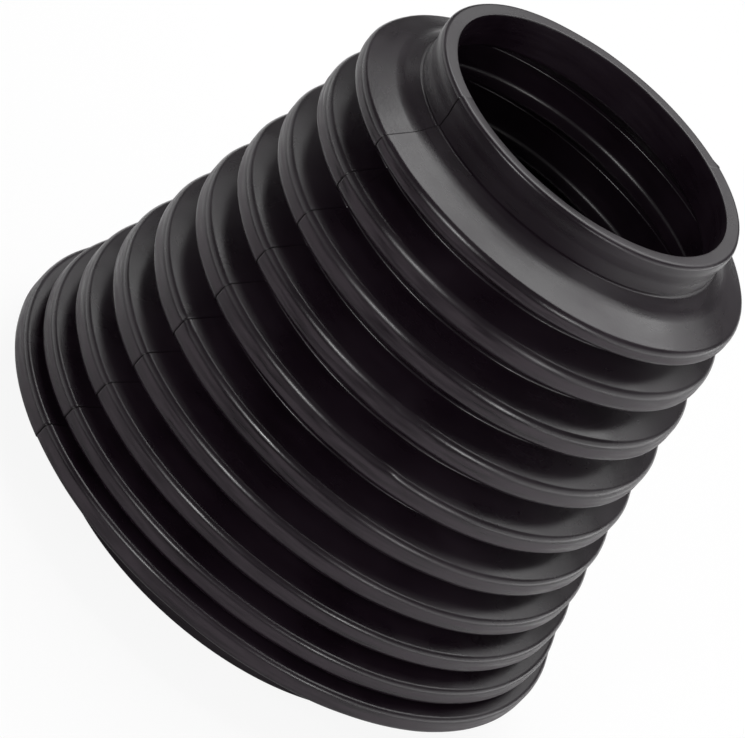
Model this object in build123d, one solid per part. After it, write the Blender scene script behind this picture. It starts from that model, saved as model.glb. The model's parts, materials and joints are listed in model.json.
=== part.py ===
from build123d import *

import os
from math import radians, tan

# A conical bellows boot, moulded in one piece from rubber, with a cuff at
# each end. Sizes are in millimetres and angles in degrees. The boot stands
# on its large cuff, with its axis on +Z and its origin at the centre of the
# face that it stands on.

# Neck: the small cuff at the top, with a lip that keeps its clamp on
NECK_BORE_RADIUS = 30.0
NECK_BORE_LENGTH = 8.0
NECK_LIP_WALL = 3.3
NECK_LIP_HEIGHT = 2.1
NECK_LIP_TAPER = 2.4
NECK_SEAT_WALL = 2.9
NECK_SEAT_HEIGHT = 2.8
NECK_FOOT_WALL = 3.4
NECK_FOOT_DROP = 0.15

# Shoulder: the cone from the foot of the neck to the first crest, with a
# steeper collar round the foot of the neck
SHOULDER_SLOPE = 23.0
SHOULDER_EDGE_RADIUS = 1.6
COLLAR_WIDTH = 2.8
COLLAR_SLOPE = 38.0
COLLAR_BLEND_RADIUS = 8.0

# Bellows: from the neck to the large end the crests flare out a little
# more with each fold, and the folds close up
CREST_COUNT = 10
FIRST_CREST_RADIUS = 42.7
LAST_CREST_RADIUS = 60.2
CREST_FLARE_POWER = 1.18
FIRST_PITCH = 10.67
LAST_PITCH = 5.4
PITCH_FALL_POWER = 3
FOLD_DEPTH = 6.5
CREST_LAND = 3.9
FIRST_CREST_LAND = 2.7
VALLEY_LAND = 0.6
FOLD_WALL = 2.0
FIRST_CREST_WALL = 3.0
GROOVE_LAND = 0.8
RIDGE_LAND = 2.9

# Base: the large cuff at the bottom, inside the last crest
BASE_BORE_RADIUS = 42.6
BASE_BORE_LENGTH = 8.2
BASE_LIP_WALL = 3.3
BASE_LIP_HEIGHT = 2.8
BASE_SEAT_WALL = 2.7
BASE_SEAT_HEIGHT = 3.6
BASE_SHOULDER_SLOPE = 14.2

# Edge roundings
NECK_RIM_RADIUS = 1.2
LIP_EDGE_RADIUS = 0.8
LIP_TAPER_RADIUS = 6.0
FOOT_EDGE_RADIUS = 1.0
BORE_EDGE_RADIUS = 0.5
BORE_END_RADIUS = 1.2
SEAT_EDGE_RADIUS = 0.3
FIRST_FOOT_EDGE_RADIUS = 1.2
UPPER_CREST_EDGE_RADIUS = 2.0
LOWER_CREST_EDGE_RADIUS = 1.2
RIDGE_EDGE_RADIUS = 1.1
BASE_BLEND_RADIUS = 2.0


class Profile:
    """A closed outline in the (radius, height) plane, with its roundings."""

    def __init__(self):
        self.points = []
        self.roundings = []

    def add(self, radius, height, rounding=0.0):
        """Add one corner, rounded by an arc of the given radius."""
        self.points.append((radius, height))
        self.roundings.append(rounding)

    def solid_of_revolution(self):
        """Turn the outline once about the Z axis."""
        corners = [(radius, 0, height) for radius, height in self.points]
        outline = FilletPolyline(*corners, radius=self.roundings, close=True)
        return revolve(make_face(outline), Axis.Z)


class Crest:
    """One ring of the bellows: a flat land outside and a groove inside."""

    def __init__(self, radius, foot, land, wall, top_edge, foot_edge):
        self.radius = radius
        self.foot = foot
        self.top = foot + land
        self.top_edge = top_edge
        self.foot_edge = foot_edge
        self.groove_radius = radius - wall
        self.groove_foot = foot + (land - GROOVE_LAND) / 2

    def trace_outside(self, profile):
        """Add the land, from top to bottom."""
        profile.add(self.radius, self.top, self.top_edge)
        profile.add(self.radius, self.foot, self.foot_edge)

    def trace_inside(self, profile):
        """Add the groove, from bottom to top."""
        profile.add(self.groove_radius, self.groove_foot)
        profile.add(self.groove_radius, self.groove_foot + GROOVE_LAND)


class Valley:
    """The fold between two crests: a groove outside and a ridge inside."""

    def __init__(self, upper, lower):
        self.middle = (upper.foot + lower.top) / 2
        self.radius = (upper.radius + lower.radius) / 2 - FOLD_DEPTH
        self.ridge_radius = self.radius - FOLD_WALL

    def trace_outside(self, profile):
        """Add the bottom of the outer groove, from top to bottom."""
        profile.add(self.radius, self.middle + VALLEY_LAND / 2)
        profile.add(self.radius, self.middle - VALLEY_LAND / 2)

    def trace_inside(self, profile):
        """Add the land of the inner ridge, from bottom to top."""
        profile.add(self.ridge_radius, self.middle - RIDGE_LAND / 2, RIDGE_EDGE_RADIUS)
        profile.add(self.ridge_radius, self.middle + RIDGE_LAND / 2, RIDGE_EDGE_RADIUS)


def crest_radius(index):
    """Outer radius of a crest, counted from the neck."""
    share = (index / (CREST_COUNT - 1)) ** CREST_FLARE_POWER
    return FIRST_CREST_RADIUS + (LAST_CREST_RADIUS - FIRST_CREST_RADIUS) * share


def pitch_below(index):
    """Height from the foot of the next crest up to the foot of this one."""
    share = (index / (CREST_COUNT - 2)) ** PITCH_FALL_POWER
    return FIRST_PITCH - (FIRST_PITCH - LAST_PITCH) * share


def crest_edge(index):
    """Rounding of a crest's edges: smaller where the folds are closer."""
    share = index / (CREST_COUNT - 1)
    reach = UPPER_CREST_EDGE_RADIUS - LOWER_CREST_EDGE_RADIUS
    return UPPER_CREST_EDGE_RADIUS - reach * share


def last_crest_foot():
    """Height of the underside of the last crest, at its edge."""
    reach = LAST_CREST_RADIUS - BASE_BORE_RADIUS - BASE_SEAT_WALL
    rise = reach * tan(radians(BASE_SHOULDER_SLOPE))
    return BASE_LIP_HEIGHT + BASE_SEAT_HEIGHT + rise


def make_crests():
    """Work out the crests, from the neck to the large end."""
    foot = last_crest_foot()
    for index in range(CREST_COUNT - 1):
        foot += pitch_below(index)
    crests = []
    for index in range(CREST_COUNT):
        radius = crest_radius(index)
        edge = crest_edge(index)
        if index == 0:
            sizes = FIRST_CREST_LAND, FIRST_CREST_WALL
            edges = SHOULDER_EDGE_RADIUS, FIRST_FOOT_EDGE_RADIUS
        else:
            foot -= pitch_below(index - 1)
            sizes = CREST_LAND, FOLD_WALL
            edges = edge, edge
        crests.append(Crest(radius, foot, *sizes, *edges))
    return crests


def trace_neck_outside(profile, first_crest):
    """Add the outside from the rim down to the collar of the shoulder.

    Returns the height of the rim.
    """
    lip_radius = NECK_BORE_RADIUS + NECK_LIP_WALL
    seat_radius = NECK_BORE_RADIUS + NECK_SEAT_WALL
    foot_radius = NECK_BORE_RADIUS + NECK_FOOT_WALL
    collar_radius = foot_radius + COLLAR_WIDTH
    cone_reach = first_crest.radius - collar_radius
    collar_foot = first_crest.top + cone_reach * tan(radians(SHOULDER_SLOPE))
    neck_foot = collar_foot + COLLAR_WIDTH * tan(radians(COLLAR_SLOPE))
    seat_foot = neck_foot + NECK_FOOT_DROP
    seat_top = seat_foot + NECK_SEAT_HEIGHT
    lip_foot = seat_top + NECK_LIP_TAPER
    rim = lip_foot + NECK_LIP_HEIGHT

    profile.add(lip_radius, rim, NECK_RIM_RADIUS)
    profile.add(lip_radius, lip_foot, LIP_TAPER_RADIUS)
    profile.add(seat_radius, seat_top, LIP_TAPER_RADIUS)
    profile.add(seat_radius, seat_foot)
    profile.add(foot_radius, neck_foot, FOOT_EDGE_RADIUS)
    profile.add(collar_radius, collar_foot, COLLAR_BLEND_RADIUS)
    return rim


def trace_base(profile):
    """Add the base cuff: its outside down to the lip, then its bore."""
    seat_radius = BASE_BORE_RADIUS + BASE_SEAT_WALL
    lip_radius = BASE_BORE_RADIUS + BASE_LIP_WALL

    profile.add(seat_radius, BASE_LIP_HEIGHT + BASE_SEAT_HEIGHT, BASE_BLEND_RADIUS)
    profile.add(seat_radius, BASE_LIP_HEIGHT, SEAT_EDGE_RADIUS)
    profile.add(lip_radius, BASE_LIP_HEIGHT, SEAT_EDGE_RADIUS)
    profile.add(lip_radius, 0, LIP_EDGE_RADIUS)
    profile.add(BASE_BORE_RADIUS, 0, BORE_EDGE_RADIUS)
    profile.add(BASE_BORE_RADIUS, BASE_BORE_LENGTH, BORE_END_RADIUS)


def make_boot():
    """Model the whole boot as one solid."""
    crests = make_crests()
    valleys = [Valley(upper, lower) for upper, lower in zip(crests, crests[1:])]
    profile = Profile()

    rim = trace_neck_outside(profile, crests[0])
    crests[0].trace_outside(profile)
    for valley, crest in zip(valleys, crests[1:]):
        valley.trace_outside(profile)
        crest.trace_outside(profile)

    trace_base(profile)
    crests[-1].trace_inside(profile)
    for valley, crest in zip(reversed(valleys), reversed(crests[:-1])):
        valley.trace_inside(profile)
        crest.trace_inside(profile)

    profile.add(NECK_BORE_RADIUS, rim - NECK_BORE_LENGTH, BORE_END_RADIUS)
    profile.add(NECK_BORE_RADIUS, rim, BORE_EDGE_RADIUS)
    return profile.solid_of_revolution()


os.makedirs("parts", exist_ok=True)
export_step(make_boot(), "parts/bellows_boot.step")
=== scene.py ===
import json
import logging
from dataclasses import dataclass, field
from math import atan2, cos, hypot, pi, radians, sin, tan
from typing import Callable

import bmesh
import bpy
from mathutils import Matrix, Vector

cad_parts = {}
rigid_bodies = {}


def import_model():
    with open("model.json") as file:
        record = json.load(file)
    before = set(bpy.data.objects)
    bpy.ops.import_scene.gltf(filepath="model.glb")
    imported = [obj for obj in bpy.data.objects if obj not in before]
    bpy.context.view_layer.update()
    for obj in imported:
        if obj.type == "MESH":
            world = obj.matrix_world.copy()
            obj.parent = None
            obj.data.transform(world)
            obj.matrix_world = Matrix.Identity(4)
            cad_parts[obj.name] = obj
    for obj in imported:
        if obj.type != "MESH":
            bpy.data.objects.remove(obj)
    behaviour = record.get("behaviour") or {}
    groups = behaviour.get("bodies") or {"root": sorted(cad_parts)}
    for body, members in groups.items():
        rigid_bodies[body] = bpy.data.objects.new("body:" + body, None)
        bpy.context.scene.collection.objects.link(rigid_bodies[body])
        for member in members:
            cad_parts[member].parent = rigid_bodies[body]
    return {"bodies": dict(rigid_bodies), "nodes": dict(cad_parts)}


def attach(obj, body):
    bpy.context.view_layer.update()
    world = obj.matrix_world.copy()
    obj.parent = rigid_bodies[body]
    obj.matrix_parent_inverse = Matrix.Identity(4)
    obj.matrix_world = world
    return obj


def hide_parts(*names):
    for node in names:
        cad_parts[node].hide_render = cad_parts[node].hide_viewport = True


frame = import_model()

# A conical bellows boot, moulded in one piece from black rubber, standing on
# its large cuff on a pale studio floor. Sizes of the boot are in millimetres
# and become metres where its mesh is made.

logging.basicConfig(level=logging.INFO, format="%(levelname)s %(message)s")
log = logging.getLogger("boot_scene")

MM = 0.001
SAME_PLACE = 0.01 * MM
WHITE = (1.0, 1.0, 1.0, 1.0)
PARTING_GROUP = "parting_points"
PARTING_SHARE = "parting_line"
FREE_SKIN = "free_skin"
RUBBED_GROUP = "rubbed_points"
RUBBED_SHARE = "rubbed_land"

# A Mix node has its own pair of inputs and its own output for each data type.
NUMBER_A, NUMBER_B, MIXED_NUMBER = 2, 3, 0
COLOUR_A, COLOUR_B, MIXED_COLOUR = 6, 7, 2


def linear(hex_colour: str) -> tuple[float, float, float, float]:
    """Turn an sRGB hex colour into linear light.

    Args:
        hex_colour: six hex digits after a hash.

    Returns:
        Red, green, blue and an alpha of one.
    """
    shares = [int(hex_colour[start:start + 2], 16) / 255 for start in (1, 3, 5)]
    red, green, blue = [
        share / 12.92 if share <= 0.04045 else ((share + 0.055) / 1.055) ** 2.4
        for share in shares
    ]
    return red, green, blue, 1.0


def heading(azimuth: float) -> float:
    """Turn an azimuth, in degrees to the right of -Y, into an angle from +X."""
    return radians(azimuth) - pi / 2


def outward(azimuth: float, elevation: float) -> Vector:
    """Find the way from the boot to a lamp or to the camera.

    Args:
        azimuth: degrees to the right of the camera's side, which is -Y.
        elevation: degrees above the floor.

    Returns:
        A vector of length one.
    """
    turn, rise = radians(azimuth), radians(elevation)
    return Vector((sin(turn) * cos(rise), -cos(turn) * cos(rise), sin(rise)))


def add_node(
    tree: bpy.types.NodeTree, kind: str, inputs: dict | None = None, **settings
) -> bpy.types.Node:
    """Add one node to a tree, with its settings, values and links.

    Args:
        tree: the nodes of a material or of the world.
        kind: Blender's name for the type of node.
        inputs: a value, or the output that links in, by input name or place.
        settings: the node's own properties.

    Returns:
        The new node.
    """
    node = tree.nodes.new(kind)
    for name, value in settings.items():
        setattr(node, name, value)
    for key, value in (inputs or {}).items():
        if isinstance(value, bpy.types.NodeSocket):
            tree.links.new(value, node.inputs[key])
        else:
            node.inputs[key].default_value = value
    return node


def add_gloss_test(
    tree: bpy.types.NodeTree, rays: bpy.types.bpy_prop_collection
) -> bpy.types.NodeSocket:
    """Tell the rays that a glossy or a clear surface sends on from the rest.

    Args:
        tree: the nodes of a material or of the world.
        rays: the outputs of its Light Path node.

    Returns:
        One for such a ray and zero for any other.
    """
    return add_node(
        tree,
        "ShaderNodeMath",
        {0: rays["Is Glossy Ray"], 1: rays["Is Transmission Ray"]},
        operation="MAXIMUM",
    ).outputs["Value"]


def blank_material(name: str) -> bpy.types.Material:
    """Make a material with an empty node tree.

    Args:
        name: what the material is called.

    Returns:
        The material.
    """
    material = bpy.data.materials.new(name)
    material.use_nodes = True
    material.node_tree.nodes.clear()
    return material


def select_vertices(
    mesh_object: bpy.types.Object, wanted: Callable[[bmesh.types.BMVert], bool]
) -> None:
    """Select the vertices of the object in edit mode that pass a test.

    Args:
        mesh_object: the object that is in edit mode.
        wanted: says of a vertex whether it is to be selected.
    """
    mesh = bmesh.from_edit_mesh(mesh_object.data)
    for part in (*mesh.faces, *mesh.edges, *mesh.verts):
        part.select = False
    for vertex in mesh.verts:
        if wanted(vertex):
            vertex.select = True
    mesh.select_flush_mode()
    bmesh.update_edit_mesh(mesh_object.data)


def select_near(
    mesh_object: bpy.types.Object, places: tuple[Vector, ...], reach: float = SAME_PLACE
) -> None:
    """Select the vertices of the object in edit mode that lie at some places.

    Args:
        mesh_object: the object that is in edit mode.
        places: the places, in metres.
        reach: how near to a place a vertex has to be, in metres.
    """
    select_vertices(
        mesh_object,
        lambda vertex: any((vertex.co - place).length < reach for place in places),
    )


@dataclass(frozen=True)
class Corner:
    """A corner of the boot's section, with its rounding, in millimetres."""

    radius: float
    height: float
    rounding: float = 0.0
    outside: bool = True


@dataclass(frozen=True)
class Flaw:
    """A small bump or dent of the skin: its place, its push and their reach.

    The azimuth is in degrees to the right of -Y, the rest in millimetres.
    """

    azimuth: float
    radius: float
    height: float
    outward: float
    reach: float
    upward: float


@dataclass(frozen=True)
class MouldedRubber:
    """Black rubber, compression moulded in a polished steel tool.

    It is near black with a faint plum cast, has the soft sheen of a skin that
    copies the tool, and is greyer and duller where talc and handling have
    dulled it. Long faint streaks run round the lands, where the tool was
    turned. The parting line is painted darker and less glossy, as painted
    shade of its groove. Sizes are in millimetres.
    """

    name: str = "moulded_black_rubber"
    deep_colour: str = "#10080f"
    worn_colour: str = "#1f161e"
    rubbed_colour: str = "#2f262d"
    # painted shade: this colour darkens the parting line's groove
    groove_shade_colour: str = "#050404"
    roughness_low: float = 0.2
    roughness_high: float = 0.38
    rubbed_roughness: float = 0.5
    gloss: float = 0.5
    # painted shade: the gloss of the parting line is cut to darken its groove
    parting_gloss: float = 0.03
    ior: float = 1.5
    cloud_size: float = 20.0
    cloud_detail: float = 4.0
    cloud_weight: float = 0.75
    streak_length: float = 11.0
    streak_width: float = 0.9
    streak_height: float = 0.01
    streak_weight: float = 0.25
    grain_size: float = 0.6
    grain_height: float = 0.012
    fine_detail: float = 2.0
    dust_starts: float = 0.32
    dust_is_full: float = 0.68
    rubbing_starts: float = 0.3
    rubbing_is_full: float = 0.6

    def add_noise(
        self, tree: bpy.types.NodeTree, length: float, width: float, detail: float
    ) -> bpy.types.NodeSocket:
        """Add a noise whose grains are level and longer than they are high.

        Args:
            tree: the nodes of the rubber.
            length: level size of a grain, in millimetres.
            width: height of a grain, in millimetres.
            detail: how many finer noises are added.

        Returns:
            The noise, from 0 to 1.
        """
        place = add_node(tree, "ShaderNodeTexCoord").outputs["Object"]
        level, upright = 1 / (length * MM), 1 / (width * MM)
        stretched = add_node(
            tree,
            "ShaderNodeMapping",
            {"Vector": place, "Scale": (level, level, upright)},
        ).outputs["Vector"]
        return add_node(
            tree,
            "ShaderNodeTexNoise",
            {"Vector": stretched, "Scale": 1.0, "Detail": detail},
        ).outputs["Fac"]

    def add_dust(
        self, tree: bpy.types.NodeTree, streaks: bpy.types.NodeSocket
    ) -> bpy.types.NodeSocket:
        """Add the talc: in clouds, and faintly streaked round the boot.

        Args:
            tree: the nodes of the rubber.
            streaks: the noise that runs round the lands.

        Returns:
            The share of talc, from 0 to 1.
        """
        size = self.cloud_size
        clouds = add_node(
            tree,
            "ShaderNodeMath",
            {
                0: self.add_noise(tree, size, size, self.cloud_detail),
                1: self.cloud_weight,
            },
            operation="MULTIPLY",
        ).outputs["Value"]
        streaked = add_node(
            tree,
            "ShaderNodeMath",
            {0: streaks, 1: self.streak_weight, 2: clouds},
            operation="MULTIPLY_ADD",
        ).outputs["Value"]
        return add_node(
            tree,
            "ShaderNodeMapRange",
            {
                "Value": streaked,
                "From Min": self.dust_starts,
                "From Max": self.dust_is_full,
            },
        ).outputs["Result"]

    def add_rubbing(
        self, tree: bpy.types.NodeTree, streaks: bpy.types.NodeSocket
    ) -> bpy.types.NodeSocket:
        """Add the rubbed places of the lands, broken up by the streaks.

        Args:
            tree: the nodes of the rubber.
            streaks: the noise that runs round the lands.

        Returns:
            The rubbed share, from 0 to 1.
        """
        lands = add_node(tree, "ShaderNodeAttribute", attribute_name=RUBBED_SHARE)
        return add_node(
            tree,
            "ShaderNodeMapRange",
            {
                "Value": streaks,
                "From Min": self.rubbing_starts,
                "From Max": self.rubbing_is_full,
                "To Max": lands.outputs["Fac"],
            },
        ).outputs["Result"]

    def add_colour(
        self,
        tree: bpy.types.NodeTree,
        dust: bpy.types.NodeSocket,
        rubbed: bpy.types.NodeSocket,
        parting: bpy.types.NodeSocket,
    ) -> bpy.types.NodeSocket:
        """Lay the colours of talc and rubbing over the deep colour, and painted shade
        on the parting line.

        Args:
            tree: the nodes of the rubber.
            dust: the share of talc.
            rubbed: the rubbed share.
            parting: one on the parting line.

        Returns:
            The colour.
        """
        colour = linear(self.deep_colour)
        # the last colour laid over is painted shade on the parting line's groove
        for share, laid_over in (
            (dust, self.worn_colour),
            (rubbed, self.rubbed_colour),
            (parting, self.groove_shade_colour),
        ):
            colour = add_node(
                tree,
                "ShaderNodeMix",
                {"Factor": share, COLOUR_A: colour, COLOUR_B: linear(laid_over)},
                data_type="RGBA",
            ).outputs[MIXED_COLOUR]
        return colour

    def add_roughness(
        self,
        tree: bpy.types.NodeTree,
        dust: bpy.types.NodeSocket,
        rubbed: bpy.types.NodeSocket,
        parting: bpy.types.NodeSocket,
    ) -> bpy.types.NodeSocket:
        """Dull the sheen by talc and on the parting line, and most where it is rubbed.

        Args:
            tree: the nodes of the rubber.
            dust: the share of talc.
            rubbed: the rubbed share.
            parting: one on the parting line.

        Returns:
            The roughness.
        """
        sheen_lost = add_node(
            tree, "ShaderNodeMath", {0: dust, 1: parting}, operation="ADD"
        ).outputs["Value"]
        roughness = add_node(
            tree,
            "ShaderNodeMapRange",
            {
                "Value": sheen_lost,
                "To Min": self.roughness_low,
                "To Max": self.roughness_high,
            },
        ).outputs["Result"]
        return add_node(
            tree,
            "ShaderNodeMix",
            {"Factor": rubbed, NUMBER_A: roughness, NUMBER_B: self.rubbed_roughness},
        ).outputs[MIXED_NUMBER]

    def add_relief(
        self, tree: bpy.types.NodeTree, streaks: bpy.types.NodeSocket
    ) -> bpy.types.NodeSocket:
        """Add the relief of the skin: the streaks, and a fine grain on them.

        Args:
            tree: the nodes of the rubber.
            streaks: the noise that runs round the lands.

        Returns:
            The normal.
        """
        # The real grain is a few hundredths of a millimetre: drawn coarser.
        size = self.grain_size
        grain = self.add_noise(tree, size, size, self.fine_detail)
        ripples = add_node(
            tree,
            "ShaderNodeBump",
            {"Height": streaks, "Strength": 1.0, "Distance": self.streak_height * MM},
        ).outputs["Normal"]
        return add_node(
            tree,
            "ShaderNodeBump",
            {
                "Height": grain,
                "Strength": 1.0,
                "Distance": self.grain_height * MM,
                "Normal": ripples,
            },
        ).outputs["Normal"]

    def make(self) -> bpy.types.Material:
        """Build the material.

        Returns:
            The finished material.
        """
        material = blank_material(self.name)
        tree = material.node_tree
        streaks = self.add_noise(
            tree, self.streak_length, self.streak_width, self.fine_detail
        )
        dust = self.add_dust(tree, streaks)
        rubbed = self.add_rubbing(tree, streaks)
        parting = add_node(
            tree, "ShaderNodeAttribute", attribute_name=PARTING_SHARE
        ).outputs["Fac"]
        # cutting the gloss on the parting line paints the shade of its groove, as its
        # dark colour does
        gloss = add_node(
            tree,
            "ShaderNodeMapRange",
            {"Value": parting, "To Min": self.gloss, "To Max": self.parting_gloss},
        ).outputs["Result"]
        shader = add_node(
            tree,
            "ShaderNodeBsdfPrincipled",
            {
                "Base Color": self.add_colour(tree, dust, rubbed, parting),
                "Roughness": self.add_roughness(tree, dust, rubbed, parting),
                "IOR": self.ior,
                "Specular IOR Level": gloss,
                "Normal": self.add_relief(tree, streaks),
            },
        ).outputs["BSDF"]
        add_node(tree, "ShaderNodeOutputMaterial", {"Surface": shader})
        return material


@dataclass(frozen=True)
class PaleFloorBoard:
    """White painted board, matt, that the boot stands on.

    Its own light lifts it to white for the camera alone. In the boot's gloss
    it is only the lit board, and it is dimmed there, more in front of the boot
    than behind it, so that the dark folds keep their depth. The dimming falls
    off between two distances, in millimetres, on the way towards the back
    right.
    """

    name: str = "matt_white_board"
    colour: str = "#f4f4f4"
    own_light: float = 0.9
    front_dimming: float = 0.82
    back_dimming: float = 0.1
    dim_from: float = -180.0
    lit_from: float = -20.0
    light_from_right: float = 0.5

    def add_dimming(self, tree: bpy.types.NodeTree) -> bpy.types.NodeSocket:
        """Add the share of light that the board loses in gloss.

        Args:
            tree: the nodes of the board.

        Returns:
            The share at each place of the board.
        """
        place = add_node(tree, "ShaderNodeTexCoord").outputs["Object"]
        towards_light = add_node(
            tree,
            "ShaderNodeVectorMath",
            {0: place, 1: (self.light_from_right, 1.0, 0.0)},
            operation="DOT_PRODUCT",
        ).outputs["Value"]
        return add_node(
            tree,
            "ShaderNodeMapRange",
            {
                "Value": towards_light,
                "From Min": self.dim_from * MM,
                "From Max": self.lit_from * MM,
                "To Min": self.front_dimming,
                "To Max": self.back_dimming,
            },
        ).outputs["Result"]

    def make(self) -> bpy.types.Material:
        """Build the material.

        Returns:
            The finished material.
        """
        material = blank_material(self.name)
        tree = material.node_tree
        rays = add_node(tree, "ShaderNodeLightPath").outputs
        dimmed = add_node(
            tree,
            "ShaderNodeMath",
            {0: add_gloss_test(tree, rays), 1: self.add_dimming(tree)},
            operation="MULTIPLY",
        ).outputs["Value"]
        share = add_node(
            tree,
            "ShaderNodeMath",
            {0: rays["Is Camera Ray"], 1: self.own_light, 2: dimmed},
            operation="MULTIPLY_ADD",
        ).outputs["Value"]
        matt = add_node(
            tree, "ShaderNodeBsdfDiffuse", {"Color": linear(self.colour)}
        ).outputs["BSDF"]
        glow = add_node(
            tree,
            "ShaderNodeEmission",
            {"Color": WHITE, "Strength": rays["Is Camera Ray"]},
        ).outputs["Emission"]
        mixed = add_node(tree, "ShaderNodeMixShader", {0: share, 1: matt, 2: glow})
        add_node(
            tree, "ShaderNodeOutputMaterial", {"Surface": mixed.outputs["Shader"]}
        )
        return material


@dataclass
class BootSection:
    """The section of the boot's wall, from the sizes of its solid.

    Lengths are in millimetres and slopes in degrees. Crests are counted from
    the neck down. Against the solid, the neck's rim is a little sharper and
    the bottoms of the folds are rounded.
    """

    neck_bore_radius: float = 30.0
    neck_bore_length: float = 8.0
    neck_lip_wall: float = 3.3
    neck_lip_height: float = 2.1
    neck_lip_taper: float = 2.4
    neck_seat_wall: float = 2.9
    neck_seat_height: float = 2.8
    neck_foot_wall: float = 3.4
    neck_foot_drop: float = 0.15
    shoulder_slope: float = 23.0
    shoulder_edge_radius: float = 1.6
    collar_width: float = 2.8
    collar_slope: float = 38.0
    collar_blend_radius: float = 8.0
    crest_count: int = 10
    first_crest_radius: float = 42.7
    last_crest_radius: float = 60.2
    crest_flare_power: float = 1.18
    first_pitch: float = 10.67
    last_pitch: float = 5.4
    pitch_fall_power: float = 3.0
    fold_depth: float = 6.5
    crest_land: float = 3.9
    first_crest_land: float = 2.7
    valley_land: float = 0.6
    fold_wall: float = 2.0
    first_crest_wall: float = 3.0
    groove_land: float = 0.8
    ridge_land: float = 2.9
    base_bore_radius: float = 42.6
    base_bore_length: float = 8.2
    base_lip_wall: float = 3.3
    base_lip_height: float = 2.8
    base_seat_wall: float = 2.7
    base_seat_height: float = 3.6
    base_shoulder_slope: float = 14.2
    neck_rim_radius: float = 1.0
    lip_edge_radius: float = 0.8
    lip_taper_radius: float = 6.0
    foot_edge_radius: float = 1.0
    bore_edge_radius: float = 0.5
    bore_end_radius: float = 1.2
    seat_edge_radius: float = 0.3
    first_foot_edge_radius: float = 1.2
    upper_crest_edge_radius: float = 2.0
    lower_crest_edge_radius: float = 1.2
    ridge_edge_radius: float = 1.1
    base_blend_radius: float = 2.0
    fold_root_radius: float = 0.3

    def crest_radius(self, index: int) -> float:
        """Find the outer radius of a crest.

        Args:
            index: the crest.

        Returns:
            The radius.
        """
        share = (index / (self.crest_count - 1)) ** self.crest_flare_power
        reach = self.last_crest_radius - self.first_crest_radius
        return self.first_crest_radius + reach * share

    def pitch_below(self, index: int) -> float:
        """Height from the foot of the next crest up to the foot of this one."""
        share = (index / (self.crest_count - 2)) ** self.pitch_fall_power
        return self.first_pitch - (self.first_pitch - self.last_pitch) * share

    def crest_feet(self) -> list[float]:
        """Find how high each crest starts.

        Returns:
            The heights of the undersides of the crests, from the neck down.
        """
        reach = self.last_crest_radius - self.base_bore_radius - self.base_seat_wall
        foot = self.base_lip_height + self.base_seat_height
        foot += reach * tan(radians(self.base_shoulder_slope))
        feet = [foot]
        for index in reversed(range(self.crest_count - 1)):
            foot += self.pitch_below(index)
            feet.append(foot)
        return feet[::-1]

    def land_of(self, index: int) -> float:
        """Height of a crest's flat land."""
        return self.first_crest_land if index == 0 else self.crest_land

    def crest_edges(self, index: int) -> tuple[float, float]:
        """Find the roundings of a crest's edges: smaller where folds are closer.

        Args:
            index: the crest.

        Returns:
            The roundings of its upper and its lower edge.
        """
        if index == 0:
            return self.shoulder_edge_radius, self.first_foot_edge_radius
        reach = self.upper_crest_edge_radius - self.lower_crest_edge_radius
        edge = self.upper_crest_edge_radius - reach * index / (self.crest_count - 1)
        return edge, edge

    def valley(self, index: int) -> tuple[float, float]:
        """Find the bottom of the fold below a crest.

        Args:
            index: the crest.

        Returns:
            Its radius and its middle height.
        """
        feet = self.crest_feet()
        middle = (feet[index] + feet[index + 1] + self.land_of(index + 1)) / 2
        around = (self.crest_radius(index) + self.crest_radius(index + 1)) / 2
        return around - self.fold_depth, middle

    def neck_outside(self) -> list[Corner]:
        """Trace the neck's outside.

        Returns:
            Corners from the rim down to the collar of the shoulder.
        """
        bore = self.neck_bore_radius
        foot_radius = bore + self.neck_foot_wall
        collar_radius = foot_radius + self.collar_width
        cone_reach = self.first_crest_radius - collar_radius
        collar_foot = self.crest_feet()[0] + self.first_crest_land
        collar_foot += cone_reach * tan(radians(self.shoulder_slope))
        neck_foot = collar_foot + self.collar_width * tan(radians(self.collar_slope))
        seat_foot = neck_foot + self.neck_foot_drop
        seat_top = seat_foot + self.neck_seat_height
        lip_foot = seat_top + self.neck_lip_taper
        rim = lip_foot + self.neck_lip_height
        taper = self.lip_taper_radius
        return [
            Corner(bore + self.neck_lip_wall, rim, self.neck_rim_radius),
            Corner(bore + self.neck_lip_wall, lip_foot, taper),
            Corner(bore + self.neck_seat_wall, seat_top, taper),
            Corner(bore + self.neck_seat_wall, seat_foot),
            Corner(foot_radius, neck_foot, self.foot_edge_radius),
            Corner(collar_radius, collar_foot, self.collar_blend_radius),
        ]

    def bellows_outside(self) -> list[Corner]:
        """Trace the outside of the folds.

        Returns:
            Corners of the lands and the valleys between them, downwards.
        """
        corners = []
        for index, foot in enumerate(self.crest_feet()):
            radius = self.crest_radius(index)
            top_edge, foot_edge = self.crest_edges(index)
            corners.append(Corner(radius, foot + self.land_of(index), top_edge))
            corners.append(Corner(radius, foot, foot_edge))
            if index < self.crest_count - 1:
                radius, middle = self.valley(index)
                half = self.valley_land / 2
                corners.append(Corner(radius, middle + half, self.fold_root_radius))
                corners.append(Corner(radius, middle - half, self.fold_root_radius))
        return corners

    def base_cuff(self) -> list[Corner]:
        """Trace the large cuff.

        Returns:
            Corners round its seat and its lip, and up its bore.
        """
        bore = self.base_bore_radius
        seat = bore + self.base_seat_wall
        lip = bore + self.base_lip_wall
        lip_top = self.base_lip_height
        seat_top = lip_top + self.base_seat_height
        return [
            Corner(seat, seat_top, self.base_blend_radius),
            Corner(seat, lip_top, self.seat_edge_radius),
            Corner(lip, lip_top, self.seat_edge_radius),
            Corner(lip, 0, self.lip_edge_radius),
            Corner(bore, 0, self.bore_edge_radius, False),
            Corner(bore, self.base_bore_length, self.bore_end_radius, False),
        ]

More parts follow.
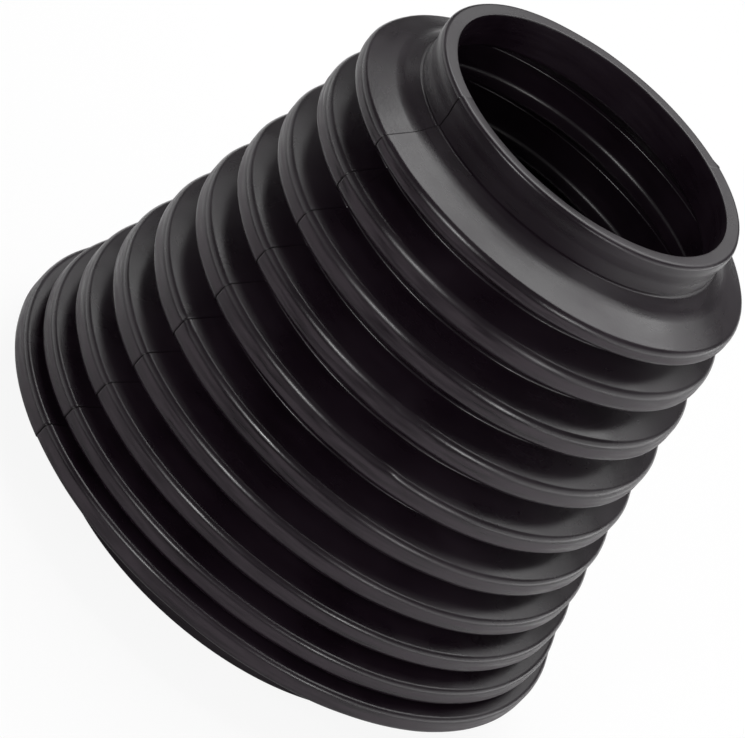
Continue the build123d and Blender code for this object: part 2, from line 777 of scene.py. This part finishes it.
    def bellows_inside(self) -> list[Corner]:
        """Trace the inside of the folds.

        Returns:
            Corners of the grooves and the ridges between them, upwards.
        """
        corners = []
        feet = self.crest_feet()
        for index in reversed(range(self.crest_count)):
            wall = self.first_crest_wall if index == 0 else self.fold_wall
            radius = self.crest_radius(index) - wall
            foot = feet[index] + (self.land_of(index) - self.groove_land) / 2
            top = foot + self.groove_land
            corners.append(Corner(radius, foot, self.fold_root_radius, False))
            corners.append(Corner(radius, top, self.fold_root_radius, False))
            if index > 0:
                radius, middle = self.valley(index - 1)
                radius -= self.fold_wall
                half = self.ridge_land / 2
                edge = self.ridge_edge_radius
                corners.append(Corner(radius, middle - half, edge, False))
                corners.append(Corner(radius, middle + half, edge, False))
        return corners

    def neck_bore(self) -> list[Corner]:
        """Trace the neck's bore.

        Returns:
            Corners from its lower end to the rim.
        """
        rim = self.neck_outside()[0].height
        radius = self.neck_bore_radius
        lower_end = rim - self.neck_bore_length
        return [
            Corner(radius, lower_end, self.bore_end_radius, False),
            Corner(radius, rim, self.bore_edge_radius, False),
        ]

    def corners(self) -> list[Corner]:
        """Trace the whole section.

        Returns:
            Its corners, from the rim down the outside and up the inside.
        """
        return [
            *self.neck_outside(),
            *self.bellows_outside(),
            *self.base_cuff(),
            *self.bellows_inside(),
            *self.neck_bore(),
        ]


@dataclass
class StorageSet:
    """How the soft wall has settled: a slight sideways bow, with leaning rings.

    Distances are in millimetres and leans in degrees. The bow and the lean of
    the waist are towards +X. The neck leans the other way, and back a little,
    towards +Y.
    """

    waist_height: float = 60.0
    waist_shift: float = 0.9
    neck_return: float = 1.3
    base_return: float = 0.83
    half_height: float = 47.0
    lean: float = 1.15
    lean_height: float = 55.0
    lean_reach: float = 37.0
    neck_lean_back: float = 0.6
    neck_lean_start: float = 78.0
    neck_lean_end: float = 107.0
    firm_height: float = 8.0
    cage_width: float = 130.0
    rows: int = 33

    def freedom(self, height: float) -> float:
        """Share of its bend that a ring takes: none of it at the floor."""
        share = min(height / self.firm_height, 1.0)
        return share * share * (3 - 2 * share)

    def shift(self, height: float) -> float:
        """Find how far a ring is pushed aside.

        Args:
            height: where the ring is.

        Returns:
            Its shift towards +X.
        """
        share = (height - self.waist_height) / self.half_height
        back = self.neck_return if share > 0 else self.base_return
        return (self.waist_shift - back * share * share) * self.freedom(height)

    def lean_across(self, height: float) -> float:
        """Lean of the ring at a height: one wave, held on into the cuffs."""
        share = min(abs(height - self.lean_height) / self.lean_reach, 1.0)
        return self.lean * cos(pi * share) * self.freedom(height)

    def lean_back(self, height: float) -> float:
        """Find how far a ring leans back: not at all below the neck's folds.

        Args:
            height: where the ring is.

        Returns:
            Its lean towards +Y.
        """
        reach = self.neck_lean_end - self.neck_lean_start
        share = (height - self.neck_lean_start) / reach
        return self.neck_lean_back * min(max(share, 0.0), 1.0)

    def apply(self, piece: bpy.types.Object, top: float) -> None:
        """Bend the piece with a lattice whose rows shift and lean.

        Args:
            piece: the piece to bend, in object mode.
            top: height of the piece.
        """
        bpy.ops.object.select_all(action="DESELECT")
        bpy.ops.object.add(type="LATTICE", location=(0, 0, top / 2 * MM))
        cage = bpy.context.active_object
        width = self.cage_width * MM
        cage.scale = (width, width, top * MM)
        cage.data.points_u = 2
        cage.data.points_v = 2
        cage.data.points_w = self.rows
        cage.data.interpolation_type_w = "KEY_CATMULL_ROM"
        for point in cage.data.points:
            place = point.co
            height = (place.z + 0.5) * top
            across = radians(self.lean_across(height))
            back = radians(self.lean_back(height))
            aside = place.x * cos(across) + self.shift(height) * MM / width
            drop = place.x * sin(across) + place.y * sin(back)
            drop *= width / (top * MM)
            point.co_deform = (aside, place.y * cos(back), place.z - drop)
        bpy.ops.object.select_all(action="DESELECT")
        piece.select_set(True)
        bpy.context.view_layer.objects.active = piece
        bend = piece.modifiers.new("storage_set", "LATTICE")
        bend.object = cage
        bpy.ops.object.modifier_apply(modifier=bend.name)
        bpy.data.objects.remove(cage)


@dataclass
class BellowsBoot:
    """The boot itself: one moulded piece of rubber.

    Lengths are in millimetres and angles in degrees, apart from seam_slack,
    which is in radians. Azimuths count to the right of -Y.
    """

    section: BootSection = field(default_factory=BootSection)
    rubber: MouldedRubber = field(default_factory=MouldedRubber)
    storage_set: StorageSet = field(default_factory=StorageSet)
    node: str = "bellows_boot"
    slot: str = "rubber_black"
    name: str = "boot_skin"
    parting_azimuth: float = -41.8
    seam_width: float = 1.3
    seam_slack: float = 0.0001
    seam_columns: int = 4
    columns_per_half: int = 126
    fine_steps: int = 5
    plain_steps: int = 3
    root_steps: int = 2
    seam_depth: float = 0.2
    half_offset: float = 0.2
    valley_reach: float = 0.6
    resting_height: float = 2.0
    firm_skin_height: float = 3.0
    bellows_start: float = 41.0
    land_flatness: float = 0.97
    weld_reach: float = 0.002
    sharp_angle: float = 40.0
    wave_height: float = 0.22
    wave_size: float = 14.0
    flaws: tuple[Flaw, ...] = (
        Flaw(141.0, 33.3, 107.2, 0.9, 1.5, 0.0),
        Flaw(13.5, 49.4, 54.4, 0.2, 3.4, 0.45),
        Flaw(7.0, 47.5, 64.8, -0.1, 3.0, -0.3),
        Flaw(-40.5, 51.4, 44.4, 0.1, 2.4, 0.35),
        Flaw(-40.5, 42.7, 95.2, 0.1, 2.0, 0.25),
    )

    def seam_turn(self) -> float:
        """Turn that a seam's narrow columns take up, in radians."""
        return self.seam_width / self.section.last_crest_radius

    def turned(self, corner: Corner) -> Vector:
        """Place a corner on the meridian where the spin starts.

        Args:
            corner: a corner of the section.

        Returns:
            Its place, in metres.
        """
        angle = heading(self.parting_azimuth)
        radius = corner.radius * MM
        return Vector((radius * cos(angle), radius * sin(angle), corner.height * MM))

    def steps_round(self, corner: Corner) -> int:
        """Find how finely a corner is rounded: most on the outside.

        Args:
            corner: a corner of the section.

        Returns:
            The number of steps, which is low for a small rounding.
        """
        if corner.rounding <= self.section.bore_edge_radius:
            return self.root_steps
        return self.fine_steps if corner.outside else self.plain_steps

    def trace_section(self) -> bpy.types.Object:
        """Draw the section as a closed loop of edges, corner by corner.

        Returns:
            The object that holds the loop, in edit mode.
        """
        places = [self.turned(corner) for corner in self.section.corners()]
        bpy.ops.object.select_all(action="DESELECT")
        bpy.ops.mesh.primitive_plane_add(size=MM)
        piece = bpy.context.active_object
        piece.name = self.name
        piece.data.name = self.name
        bpy.ops.object.mode_set(mode="EDIT")
        bpy.ops.mesh.select_all(action="SELECT")
        bpy.ops.mesh.merge(type="CENTER")
        bpy.ops.transform.translate(value=places[0])
        for before, after in zip(places, places[1:]):
            bpy.ops.mesh.extrude_vertices_move(
                TRANSFORM_OT_translate={"value": after - before}
            )
        select_near(piece, (places[0], places[-1]))
        bpy.ops.mesh.edge_face_add()
        return piece

    def round_corners(self, piece: bpy.types.Object) -> None:
        """Round each corner of the section by its own radius.

        Args:
            piece: the section, in edit mode.
        """
        corners = self.section.corners()
        places = [Vector((corner.radius, corner.height)) for corner in corners]
        bpy.ops.mesh.select_all(action="SELECT")
        bpy.ops.mesh.edge_face_add()
        for index, corner in enumerate(corners):
            if corner.rounding == 0:
                continue
            arriving = places[index] - places[index - 1]
            leaving = places[(index + 1) % len(places)] - places[index]
            turn = arriving.angle(leaving)
            select_near(piece, (self.turned(corner),))
            bpy.ops.mesh.bevel(
                offset=corner.rounding * tan(turn / 2) * MM,
                offset_type="OFFSET",
                segments=self.steps_round(corner),
                affect="VERTICES",
            )
        bpy.ops.mesh.select_all(action="SELECT")
        bpy.ops.mesh.delete(type="ONLY_FACE")

    def spin_section(self, piece: bpy.types.Object) -> None:
        """Spin the section once round, with narrow columns at both seams.

        Args:
            piece: the rounded section, in edit mode.
        """
        seam = (self.seam_turn(), self.seam_columns)
        half = (pi - self.seam_turn(), self.columns_per_half)
        bpy.ops.mesh.select_all(action="SELECT")
        for turn, steps in (seam, half, seam, half):
            # A positive angle would spin clockwise, as seen from above.
            bpy.ops.mesh.spin(
                steps=steps, angle=-turn, center=(0, 0, 0), axis=(0, 0, 1)
            )
        bpy.ops.mesh.select_all(action="SELECT")
        bpy.ops.mesh.remove_doubles(threshold=self.weld_reach * MM)
        bpy.ops.mesh.normals_make_consistent(inside=False)

    def turn_from_seam(self, vertex: bmesh.types.BMVert) -> float:
        """Find the turn of a vertex past the meridian where the spin starts.

        Args:
            vertex: a vertex of the spun boot.

        Returns:
            Radians, from 0 to a full turn.
        """
        turn = atan2(vertex.co.y, vertex.co.x) - heading(self.parting_azimuth)
        return (turn + self.seam_slack) % (2 * pi)

    def is_outside(self, vertex: bmesh.types.BMVert) -> bool:
        """Whether a vertex is on the outer skin, above the resting face."""
        across = vertex.normal.x * vertex.co.x + vertex.normal.y * vertex.co.y
        return across > 0 and vertex.co.z > self.resting_height * MM

    def is_in_valley(self, vertex: bmesh.types.BMVert) -> bool:
        """Whether an outer vertex is at the bottom of a fold.

        Args:
            vertex: a vertex of the outer skin.

        Returns:
            Whether its height is that of a valley.
        """
        height = vertex.co.z / MM
        return any(
            abs(self.section.valley(fold)[1] - height) < self.valley_reach
            for fold in range(self.section.crest_count - 1)
        )

    def mark_parting(self, piece: bpy.types.Object) -> None:
        """Press in the line where the tool's halves met, and step one half.

        Args:
            piece: the spun boot, in edit mode.
        """
        middle = self.seam_turn() / 2
        reach = self.seam_turn() / self.seam_columns / 2

        def on_line(vertex: bmesh.types.BMVert) -> bool:
            """Whether a vertex is on the parting line."""
            turn = self.turn_from_seam(vertex) % pi
            return self.is_outside(vertex) and abs(turn - middle) < reach

        def takes_groove_shade(vertex: bmesh.types.BMVert) -> bool:
            """Whether the parting line is painted with shade at a vertex."""
            return on_line(vertex) and not self.is_in_valley(vertex)

        def on_front_half(vertex: bmesh.types.BMVert) -> bool:
            """Whether a vertex was moulded by the front half of the tool."""
            turn = self.turn_from_seam(vertex) - middle
            return self.is_outside(vertex) and reach < turn < pi - reach

        select_vertices(piece, on_front_half)
        bpy.ops.transform.translate(value=(0, 0, self.half_offset * MM))
        select_vertices(piece, on_line)
        bpy.ops.transform.shrink_fatten(value=-self.seam_depth * MM)
        # these points get the painted shade of the groove, except in the valleys
        select_vertices(piece, takes_groove_shade)
        piece.vertex_groups.new(name=PARTING_GROUP)
        bpy.ops.object.vertex_group_assign()

    def mark_rubbed(self, piece: bpy.types.Object) -> None:
        """Group the points of the lands, which hands and packing rub.

        Args:
            piece: the spun boot, in edit mode.
        """

        def on_land(vertex: bmesh.types.BMVert) -> bool:
            """Whether a vertex is on a land of the bellows.

            Args:
                vertex: a vertex of the spun boot.

            Returns:
                Whether it faces outwards there, level enough.
            """
            upright = hypot(vertex.normal.x, vertex.normal.y) > self.land_flatness
            around = hypot(vertex.co.x, vertex.co.y)
            on_bellows = around > self.bellows_start * MM
            return self.is_outside(vertex) and upright and on_bellows

        select_vertices(piece, on_land)
        piece.vertex_groups.new(name=RUBBED_GROUP)
        bpy.ops.object.vertex_group_assign()

    def mark_free_skin(self, piece: bpy.types.Object) -> None:
        """Group the points that may wander: all above the resting face.

        Args:
            piece: the spun boot, in edit mode.
        """
        firm_height = self.firm_skin_height * MM
        select_vertices(piece, lambda vertex: vertex.co.z > firm_height)
        piece.vertex_groups.new(name=FREE_SKIN)
        bpy.ops.object.vertex_group_assign()

    def name_shares(self, piece: bpy.types.Object, source: str, name: str) -> None:
        """Give a group's points to the material as an attribute.

        Args:
            piece: the boot, in object mode.
            source: the group of points, which goes away.
            name: the attribute, which is one at those points.
        """
        group = piece.vertex_groups[source]
        shares = piece.data.attributes.new(name, "FLOAT", "POINT")
        for vertex in piece.data.vertices:
            held = any(entry.group == group.index for entry in vertex.groups)
            shares.data[vertex.index].value = 1.0 if held else 0.0
        piece.vertex_groups.remove(group)

    def press_flaws(self, piece: bpy.types.Object) -> None:
        """Push the flash out, and the small dents and bumps of the crests.

        Args:
            piece: the boot, in edit mode.
        """
        for flaw in self.flaws:
            turn = heading(flaw.azimuth)
            out = Vector((cos(turn), sin(turn), 0.0))
            place = (out * flaw.radius + Vector((0, 0, flaw.height))) * MM
            nearest = min(
                (vertex.co - place).length
                for vertex in bmesh.from_edit_mesh(piece.data).verts
            )
            select_near(piece, (place,), nearest + SAME_PLACE)
            push = out * flaw.outward + Vector((0, 0, flaw.upward))
            bpy.ops.transform.translate(
                value=push * MM,
                use_proportional_edit=True,
                proportional_edit_falloff="SMOOTH",
                proportional_size=flaw.reach * MM,
            )

    def add_waves(self, piece: bpy.types.Object) -> None:
        """Let the soft skin wander a little from its true section.

        Args:
            piece: the boot, in object mode.
        """
        clouds = bpy.data.textures.new("soft_waves", "CLOUDS")
        clouds.noise_scale = self.wave_size * MM
        clouds.noise_depth = 1
        waves = piece.modifiers.new("soft_waves", "DISPLACE")
        waves.texture = clouds
        waves.texture_coords = "LOCAL"
        waves.strength = self.wave_height * MM
        waves.mid_level = 0.5
        waves.vertex_group = FREE_SKIN
        bpy.ops.object.modifier_apply(modifier=waves.name)

    def finish_mesh(self, piece: bpy.types.Object) -> None:
        """Smooth the shading and keep the flats flat.

        Args:
            piece: the boot, selected and in object mode.
        """
        bpy.ops.object.shade_smooth_by_angle(angle=radians(self.sharp_angle))
        flats = piece.modifiers.new("flats", "WEIGHTED_NORMAL")
        flats.keep_sharp = True
        bpy.ops.object.modifier_apply(modifier=flats.name)

    def build(self) -> bpy.types.Object:
        """Make the boot and let it stand for its solid.

        Returns:
            The finished piece.
        """
        piece = self.trace_section()
        self.round_corners(piece)
        self.spin_section(piece)
        self.mark_parting(piece)
        self.mark_rubbed(piece)
        self.mark_free_skin(piece)
        self.press_flaws(piece)
        bpy.ops.object.mode_set(mode="OBJECT")
        self.add_waves(piece)
        self.storage_set.apply(piece, self.section.neck_outside()[0].height)
        self.name_shares(piece, PARTING_GROUP, PARTING_SHARE)
        self.name_shares(piece, RUBBED_GROUP, RUBBED_SHARE)
        self.finish_mesh(piece)
        piece.data.materials.clear()
        piece.data.materials.append(self.rubber.make())
        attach(piece, "root")
        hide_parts(self.node)
        return piece


@dataclass
class SoftBox:
    """A flat studio lamp that faces the boot.

    Its azimuth is in degrees to the right of the camera's side and its
    elevation in degrees, its distance and size are in metres, and its
    brightness is its radiance.
    """

    name: str
    azimuth: float
    elevation: float
    distance: float
    width: float
    height: float
    brightness: float
    colour: str = "#ffffff"

    def build(self, aim: Vector) -> None:
        """Hang the lamp and turn it to the boot.

        Args:
            aim: the point that the lamp faces.
        """
        lamp = bpy.data.lights.new(self.name, "AREA")
        lamp.shape = "RECTANGLE"
        lamp.size = self.width
        lamp.size_y = self.height
        lamp.energy = self.brightness * pi * self.width * self.height
        lamp.color = linear(self.colour)[:3]
        holder = bpy.data.objects.new(self.name, lamp)
        bpy.context.scene.collection.objects.link(holder)
        away = outward(self.azimuth, self.elevation)
        holder.location = aim + away * self.distance
        holder.rotation_euler = away.to_track_quat("Z", "Y").to_euler()
        holder.visible_camera = False


@dataclass
class Studio:
    """The pale floor, the soft lamps and the dim room around them.

    The floor's width and corners are in metres. Its drop, which keeps it clear
    of the resting face, and the lamps' aim are in millimetres.
    """

    floor_half_width: float = 6.0
    corner_cut: float = 1.0
    corner_steps: int = 6
    floor_drop: float = 0.05
    room_light: float = 0.1
    mirrored_room: float = 0.05
    aim_height: float = 55.0
    lamps: tuple[SoftBox, ...] = (
        SoftBox("canopy_lamp", 178.0, 67.0, 0.6, 0.66, 0.44, 3.6),
        SoftBox("left_lamp", -98.0, 17.0, 0.8, 1.25, 0.3, 0.7),
        SoftBox("right_lamp", 98.0, 17.0, 0.8, 1.2, 0.3, 1.1),
        SoftBox("left_strip", -108.0, 4.0, 0.8, 1.2, 0.12, 1.6),
        SoftBox("right_strip", 105.0, 4.0, 0.8, 1.3, 0.12, 3.0),
        SoftBox("window_lamp", -25.0, 23.0, 1.2, 0.6, 0.34, 4.0),
        SoftBox("window_core", -21.0, 27.0, 1.2, 0.2, 0.16, 20.0),
        SoftBox("second_core", 47.0, 22.0, 1.2, 0.16, 0.16, 14.0),
        SoftBox("second_lamp", 50.0, 23.0, 1.2, 0.5, 0.34, 3.5),
        SoftBox("back_lamp", 180.0, 31.0, 1.0, 0.6, 0.36, 1.0),
        SoftBox("back_left_lamp", -150.0, 36.0, 1.0, 0.3, 0.3, 0.9),
        SoftBox("back_right_lamp", 150.0, 37.0, 1.0, 0.32, 0.3, 1.1),
    )
    board: PaleFloorBoard = field(default_factory=PaleFloorBoard)

    def build_floor(self) -> None:
        """Lay the floor: a square board whose corners are rounded off."""
        bpy.ops.object.select_all(action="DESELECT")
        bpy.ops.mesh.primitive_plane_add(
            size=2 * self.floor_half_width, location=(0, 0, -self.floor_drop * MM)
        )
        bpy.ops.object.transform_apply(location=True)
        floor = bpy.context.active_object
        floor.name = "studio_floor"
        bpy.ops.object.mode_set(mode="EDIT")
        bpy.ops.mesh.select_all(action="SELECT")
        bpy.ops.mesh.bevel(
            offset=self.corner_cut, segments=self.corner_steps, affect="VERTICES"
        )
        bpy.ops.object.mode_set(mode="OBJECT")
        floor.data.materials.append(self.board.make())

    def build_room(self) -> None:
        """Light the room: dim, a little brighter in gloss, and white where seen."""
        world = bpy.data.worlds.new("studio_room")
        bpy.context.scene.world = world
        world.use_nodes = True
        tree = world.node_tree
        tree.nodes.clear()
        rays = add_node(tree, "ShaderNodeLightPath").outputs
        share = add_node(
            tree,
            "ShaderNodeMath",
            {
                0: add_gloss_test(tree, rays),
                1: self.mirrored_room,
                2: rays["Is Camera Ray"],
            },
            operation="MULTIPLY_ADD",
        ).outputs["Value"]
        strength = add_node(
            tree,
            "ShaderNodeMapRange",
            {"Value": share, "To Min": self.room_light, "To Max": 1.0},
        ).outputs["Result"]
        glow = add_node(
            tree, "ShaderNodeBackground", {"Color": WHITE, "Strength": strength}
        ).outputs["Background"]
        add_node(tree, "ShaderNodeOutputWorld", {"Surface": glow})

    def build(self) -> None:
        """Set up the whole studio."""
        self.build_floor()
        self.build_room()
        aim = Vector((0.0, 0.0, self.aim_height * MM))
        for lamp in self.lamps:
            lamp.build(aim)
        bpy.context.scene.view_settings.view_transform = "Standard"


@dataclass
class StudioCamera:
    """A long lens, rolled so that the boot leans to the right.

    Places, the lens and its film are in millimetres and angles in degrees.
    """

    aim_side: float = -2.1
    aim_height: float = 42.0
    distance: float = 1021.4
    azimuth: float = 0.13
    elevation: float = 28.10
    roll: float = 41.62
    focal_length: float = 265.8
    film_width: float = 36.0
    nearest: float = 10.0

    def build(self) -> None:
        """Place the camera and make it the scene's own."""
        turn = radians(self.azimuth)
        away = outward(self.azimuth, self.elevation)
        right = Vector((cos(turn), sin(turn), 0.0))
        above = away.cross(right)
        lean = radians(self.roll)
        across = right * cos(lean) + above * sin(lean)
        upwards = above * cos(lean) - right * sin(lean)
        lens = bpy.data.cameras.new("studio_camera")
        lens.lens = self.focal_length
        lens.sensor_fit = "HORIZONTAL"
        lens.sensor_width = self.film_width
        lens.clip_start = self.nearest * MM
        camera = bpy.data.objects.new("studio_camera", lens)
        bpy.context.scene.collection.objects.link(camera)
        aim = Vector((self.aim_side, 0.0, self.aim_height)) * MM
        turned = Matrix((across, upwards, away)).transposed().to_4x4()
        place = Matrix.Translation(aim + away * self.distance * MM)
        camera.matrix_world = place @ turned
        bpy.context.scene.camera = camera


def clear_startup() -> None:
    """Take away what Blender starts with and the frame did not bring."""
    kept = {*frame["nodes"].values(), *frame["bodies"].values()}
    for thing in [thing for thing in bpy.data.objects if thing not in kept]:
        bpy.data.objects.remove(thing)


def report(piece: bpy.types.Object) -> None:
    """Log the size of a finished piece."""
    points, faces = len(piece.data.vertices), len(piece.data.polygons)
    log.info("%s: %d vertices, %d faces", piece.name, points, faces)


def main() -> None:
    """Build the boot, the studio and the camera."""
    clear_startup()
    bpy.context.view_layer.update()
    report(BellowsBoot().build())
    Studio().build()
    StudioCamera().build()


if __name__ == "__main__":
    main()
